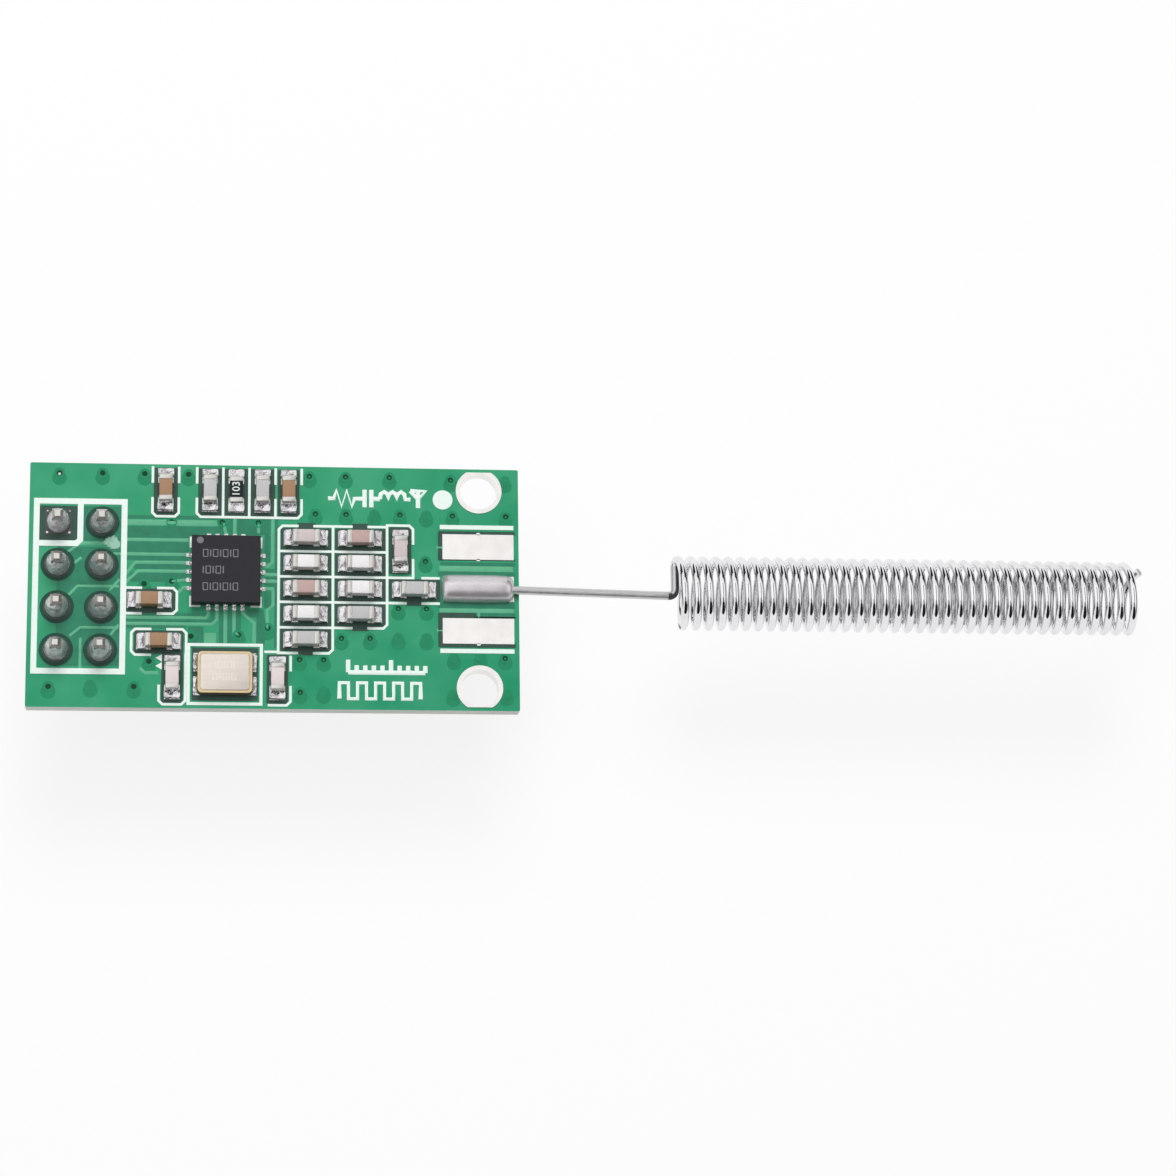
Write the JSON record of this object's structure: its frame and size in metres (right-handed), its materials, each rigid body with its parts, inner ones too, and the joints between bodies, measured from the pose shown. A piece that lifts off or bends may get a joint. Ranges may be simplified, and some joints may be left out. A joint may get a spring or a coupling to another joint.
{
  "type": "rf transceiver module",
  "caption": "Small green radio module: chips and a crystal on a rectangular board, a two-row pin header below and a wound wire antenna soldered to one end.",
  "frame": {"origin": "middle of the pin header, on the plane of the pins' free tips", "axes": "+X along the board towards the wound antenna, +Y across the board towards the row of upright chips, +Z out of the component side"},
  "size_m": [0.0666, 0.0146, 0.0115],
  "materials": {
    "solder_mask": "green solder mask on glass-fibre laminate",
    "legend_ink": "white printed ink",
    "tinned_copper": "tinned copper",
    "solder": "bright tin solder",
    "package_epoxy": "black moulded epoxy",
    "crystal_ceramic": "dark fired ceramic",
    "crystal_gold": "gold plated seal ring",
    "crystal_metal": "nickel plated lid",
    "ceramic_brown": "brown capacitor ceramic with tinned ends",
    "ceramic_pink": "pink-brown capacitor ceramic with tinned ends",
    "ceramic_grey": "grey capacitor ceramic with tinned ends",
    "ceramic_white": "white ceramic with tinned ends",
    "resistor_black": "black resistor film with tinned ends",
    "header_plastic": "black moulded plastic",
    "pin_metal": "tin plated square pins",
    "antenna_wire": "bright plated spring wire"
  },
  "bodies": {
    "root": {"antenna": "antenna_wire", "antenna_capacitor": "ceramic_grey", "antenna_land": "tinned_copper", "antenna_solder": "solder", "balun_capacitor_1": "ceramic_pink", "balun_capacitor_2": "ceramic_pink", "balun_capacitor_3": "ceramic_grey", "balun_inductor_1": "ceramic_white", "balun_inductor_2": "ceramic_white", "bias_resistor": "resistor_black", "bypass_capacitor_1": "ceramic_grey", "bypass_capacitor_2": "ceramic_brown", "chip_lands": "tinned_copper", "chip_solder": "solder", "circuit_board": "solder_mask", "crystal_lands": "tinned_copper", "crystal_lid": "crystal_metal", "crystal_seal_ring": "crystal_gold", "crystal_solder": "solder", "crystal_tray": "crystal_ceramic", "decoupling_capacitor": "ceramic_brown", "edge_ground_lands": "tinned_copper", "filter_capacitor_1": "ceramic_pink", "filter_capacitor_2": "ceramic_grey", "filter_capacitor_3": "ceramic_pink", "filter_inductor_1": "ceramic_white", "filter_inductor_2": "ceramic_white", "header_insulator": "header_plastic", "header_lands": "tinned_copper", "header_pin_1": "pin_metal", "header_pin_2": "pin_metal", "header_pin_3": "pin_metal", "header_pin_4": "pin_metal", "header_pin_5": "pin_metal", "header_pin_6": "pin_metal", "header_pin_7": "pin_metal", "header_pin_8": "pin_metal", "header_solder": "solder", "legend": "legend_ink", "load_capacitor_1": "ceramic_white", "load_capacitor_2": "ceramic_white", "mounting_hole_rings": "tinned_copper", "regulator_capacitor": "ceramic_grey", "supply_capacitor_1": "ceramic_brown", "supply_capacitor_2": "ceramic_brown", "transceiver_lands": "tinned_copper", "transceiver_leads": "tinned_copper", "transceiver_package": "package_epoxy", "transceiver_solder": "solder"}
  },
  "joints": []
}
